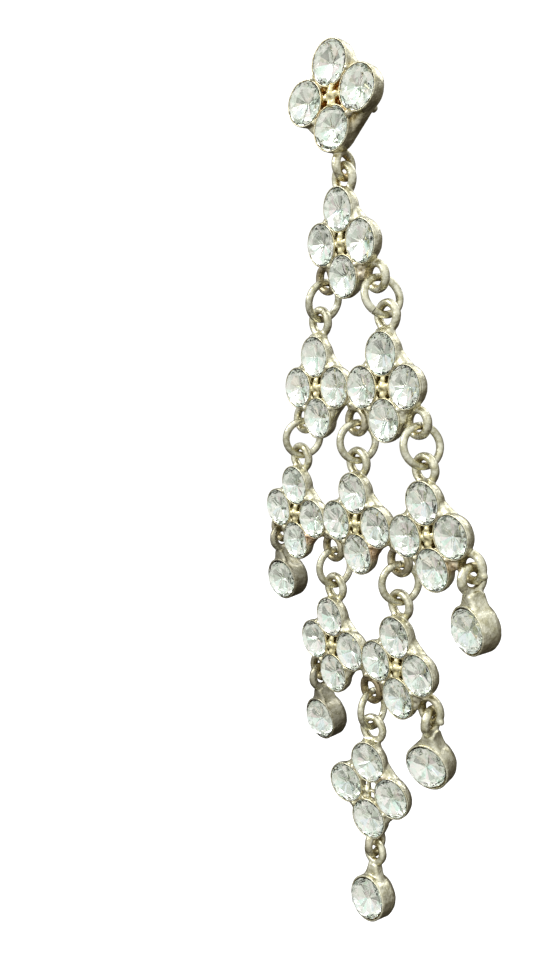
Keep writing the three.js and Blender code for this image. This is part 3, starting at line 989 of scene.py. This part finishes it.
def roughly_cut(stone, seed):
    """Sets the back facets of a moulded stone a little unevenly."""
    only(stone)
    bpy.ops.object.mode_set(mode="EDIT")
    select_points(stone, lambda point: point.y > PAVILION_FROM)
    bpy.ops.transform.vertex_random(offset=UNEVEN, uniform=1.0, normal=0.0, seed=seed)
    bpy.ops.mesh.select_mode(type="FACE")
    bpy.ops.mesh.select_all(action="SELECT")
    bpy.ops.mesh.quads_convert_to_tris(quad_method="LONGEST_DIAGONAL")
    bpy.ops.object.mode_set(mode="OBJECT")
    return stone


def tinted(stone, chance):
    """Gives each back facet its own painted reflection: grey and pink painted shade above, bright mint
    painted light below, pale painted light at the girdle.
    """
    shades = stone.data.color_attributes.new("painted_facet_reflection", "FLOAT_COLOR", "CORNER")
    for face in stone.data.polygons:
        choices = UPPER_PAINTED_REFLECTIONS if face.center.z > 0 else LOWER_PAINTED_REFLECTIONS
        shade = choices[int(chance.integers(len(choices)))]
        reach = math.hypot(face.center.x, face.center.z)
        # Painted light: the outer facets are paled towards the girdle
        paleness = 1 if reach > PALE_FROM else OUTER_PALENESS
        if reach < PAVILION_MID_R:
            paleness = 0
        shade = [part + (pale - part) * paleness for part, pale in zip(shade, PALE_EDGE)]
        for corner in face.loop_indices:
            shades.data[corner].color = (*shade, 1)
    return stone


def set_stones(node, model, place, spots, ratio=1.0, lean=UPRIGHT):
    chance = np.random.default_rng(sum(ord(letter) * (i + 1) for i, letter in enumerate(node)))
    stones = []
    leaning = Matrix.Rotation(lean[1], 4, "Z") @ Matrix.Rotation(lean[0], 4, "X")
    for x, z in spots:
        turn = Matrix.Rotation(float(chance.uniform(-STONE_TURN, STONE_TURN)), 4, "Y")
        stone = roughly_cut(copied(model, turn @ Matrix.Scale(ratio, 4)), int(chance.integers(1000)))
        stones.append(put(tinted(stone, chance), shift(x, 0, z) @ leaning))
    stones = joined(f"cut_{node}", stones)
    put(stones, place)
    shown_for(stones, node)


def make_earring():
    group = plated_surface()
    # Each plating is given its colour, its Recess colour (a yellow patina with painted shade), its Shadow
    # colour (painted shade), how far recesses reach in mm, and its grain. The stud's copy is a little darker
    # as painted shade, with orange-brown painted shade in its pits
    cast_metal = plated_metal("cast_plating", group, (0.85, 0.83, 0.67), (0.59, 0.53, 0.33),
                              (0.30, 0.25, 0.12), 0.9, 0.5)
    stud_metal = plated_metal("stud_plating", group, (0.80, 0.775, 0.615), (0.64, 0.51, 0.22),
                              (0.46, 0.23, 0.05), 0.9, 0.5)
    wire_metal = plated_metal("wire_plating", group, (0.80, 0.785, 0.64), (0.57, 0.50, 0.31),
                              (0.17, 0.13, 0.07), 0.5, 0.35)
    # A darker copy of the cast plating: painted shade for the drops that hang in shadow
    painted_shade_metal = plated_metal("painted_shade_plating", group, (0.46, 0.44, 0.35), (0.42, 0.36, 0.22),
                                   (0.17, 0.14, 0.08), 0.9, 0.5)
    model = faceted_stone(clear_crystal(), silver_foil())
    shown_for(stud_casting(stud_metal), "stud_casting")
    set_stones("stud_stones", model, cluster_place("stud_stones"), stone_spots(STUD_HALF_W, STUD_HALF_H))
    for name, row in ROWS.items():
        shown_for(row_casting(name, cast_metal), f"{name}_casting")
        for side in row["sides"]:
            node = stones_node(name, side)
            set_stones(node, model, cluster_place(node), stone_spots(HALF_W, HALF_H))
    for name, form in DROPS.items():
        metal = painted_shade_metal if name in PAINTED_SHADE_DROPS else cast_metal
        shown_for(drop_cup(name, metal, **form), f"{name}_cup")
        set_stones(f"{name}_stone", model, drop_place(name), [DROP_STONE_SPOT], DROP_STONE_RATIO, DROP_LEAN)
    for node in sorted(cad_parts):
        if node.startswith("ring_"):
            shown_for(jump_ring(node, wire_metal), node)
    dropped(model)


# ---- Studio ---------------------------------------------------------------------------------

CAMERA_PLACE = (57.69 * MM, -69.54 * MM, -26.10 * MM)
CAMERA_YAW = math.radians(44.69)
CAMERA_PITCH = math.radians(-6.53)
CAMERA_ROLL = math.radians(-2.2)
LENS_MM = 34.0

# The side the light comes from, and the tones of the room from its far side round to the window
WINDOW_SIDE = (0.2, -0.6, 0.75)
ROOM_TONES = [
    (0.0, (0.05, 0.042, 0.03)), (1.0, (1.35, 1.35, 1.32)), (0.2, (0.15, 0.135, 0.105)),
    (0.34, (0.32, 0.31, 0.28)), (0.5, (0.59, 0.59, 0.56)), (0.72, (0.82, 0.83, 0.81)),
]
# How much of the plain white room the stones let through, and how bright it is
ROOM_IN_STONES = 0.72
ROOM_WHITE = 1.12
FLOOR_SIZE = 3.0
FLOOR_DROP = 30 * MM
EARRING_MIDDLE = (0, 0, -40 * MM)


def photographer():
    camera = bpy.data.objects.new("camera", bpy.data.cameras.new("camera"))
    bpy.context.scene.collection.objects.link(camera)
    camera.data.lens = LENS_MM
    camera.data.sensor_width = 36.0
    camera.data.clip_start = 5 * MM
    camera.data.clip_end = 20.0
    turn = (Matrix.Rotation(CAMERA_YAW, 4, "Z") @ Matrix.Rotation(math.pi / 2 + CAMERA_PITCH, 4, "X")
            @ Matrix.Rotation(CAMERA_ROLL, 4, "Z"))
    camera.matrix_world = Matrix.Translation(CAMERA_PLACE) @ turn
    bpy.context.scene.camera = camera


def softbox(name, place, aim, width, height, watts):
    light = bpy.data.objects.new(name, bpy.data.lights.new(name, "AREA"))
    bpy.context.scene.collection.objects.link(light)
    light.data.shape = "RECTANGLE"
    light.data.size = width
    light.data.size_y = height
    light.data.energy = watts
    light.location = place
    light.rotation_euler = (Vector(aim) - Vector(place)).to_track_quat("-Z", "Y").to_euler()


def room_light():
    """A white room for the eye and the floor; what metal and stones mirror is dark low down at the back."""
    world = bpy.data.worlds.new("studio_room")
    bpy.context.scene.world = world
    world.use_nodes = True
    tree = world.node_tree
    plain = tree.nodes["Background"]
    plain.inputs["Color"].default_value = (1, 1, 1, 1)
    plain.inputs["Strength"].default_value = ROOM_WHITE
    along = tree.nodes.new("ShaderNodeVectorMath")
    along.operation = "DOT_PRODUCT"
    along.inputs[1].default_value = Vector(WINDOW_SIDE).normalized()
    tree.links.new(tree.nodes.new("ShaderNodeTexCoord").outputs["Generated"], along.inputs[0])
    share = linked(tree, "ShaderNodeMapRange", Value=along.outputs["Value"])
    share.inputs["From Min"].default_value = -1.0
    share.inputs["From Max"].default_value = 1.0
    mirrored = tree.nodes.new("ShaderNodeBackground")
    tree.links.new(ramp(tree, share.outputs["Result"], ROOM_TONES), mirrored.inputs["Color"])
    mirrored.inputs["Strength"].default_value = 1.0
    path = tree.nodes.new("ShaderNodeLightPath")
    plainly = tree.nodes.new("ShaderNodeMath")
    plainly.operation = "MAXIMUM"
    tree.links.new(path.outputs["Is Camera Ray"], plainly.inputs[0])
    tree.links.new(path.outputs["Is Diffuse Ray"], plainly.inputs[1])
    seen = tree.nodes.new("ShaderNodeMath")
    seen.operation = "MULTIPLY_ADD"
    seen.use_clamp = True
    tree.links.new(path.outputs["Is Transmission Ray"], seen.inputs[0])
    seen.inputs[1].default_value = ROOM_IN_STONES
    tree.links.new(plainly.outputs[0], seen.inputs[2])
    mix = tree.nodes.new("ShaderNodeMixShader")
    tree.links.new(seen.outputs[0], mix.inputs[0])
    tree.links.new(mirrored.outputs[0], mix.inputs[1])
    tree.links.new(plain.outputs[0], mix.inputs[2])
    tree.links.new(mix.outputs[0], tree.nodes["World Output"].inputs["Surface"])


def studio():
    nothing_selected()
    bpy.ops.mesh.primitive_plane_add(size=FLOOR_SIZE, location=(0, 0, CAD_BOX[0][2] - FLOOR_DROP))
    floor = bpy.context.object
    floor.name = "studio_floor"
    bpy.ops.object.transform_apply(location=True, rotation=True, scale=True)
    paper, _, shader = new_material("white_paper")
    shader.inputs["Base Color"].default_value = (0.95, 0.95, 0.95, 1)
    shader.inputs["Roughness"].default_value = 1.0
    shader.inputs["Specular IOR Level"].default_value = 0.0
    floor.data.materials.append(paper)
    floor.visible_glossy = False
    floor.visible_transmission = False
    room_light()
    softbox("key_softbox", (-0.25, -0.35, 0.3), EARRING_MIDDLE, 0.3, 0.3, 1.2)
    softbox("back_softbox", (0.05, 0.45, 0.4), EARRING_MIDDLE, 0.4, 0.4, 0.8)
    bpy.context.scene.view_settings.view_transform = "Standard"


make_earring()
photographer()
studio()
